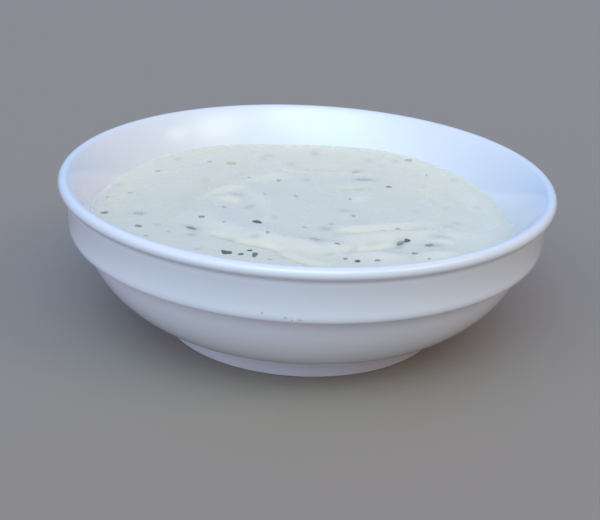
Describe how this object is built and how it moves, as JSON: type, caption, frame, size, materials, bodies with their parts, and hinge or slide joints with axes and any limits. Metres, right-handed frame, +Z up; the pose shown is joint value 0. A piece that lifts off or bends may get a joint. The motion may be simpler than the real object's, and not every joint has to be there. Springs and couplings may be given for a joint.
{
  "type": "bowl of garlic sauce",
  "caption": "Round white glazed bowl with a rolled rim, a collar and a foot ring, filled with thick pale garlic sauce with chopped herbs.",
  "frame": {"origin": "middle of the foot ring, on the surface that the bowl stands on", "axes": "+Z up along the bowl's axis; the pictured side faces -Y, +X is to its right"},
  "size_m": [0.14, 0.14, 0.0442],
  "materials": {
    "white_glaze": "glossy white glaze",
    "garlic_sauce": null
  },
  "bodies": {
    "root": {"bowl": "white_glaze", "garlic_sauce": "garlic_sauce"}
  },
  "joints": []
}
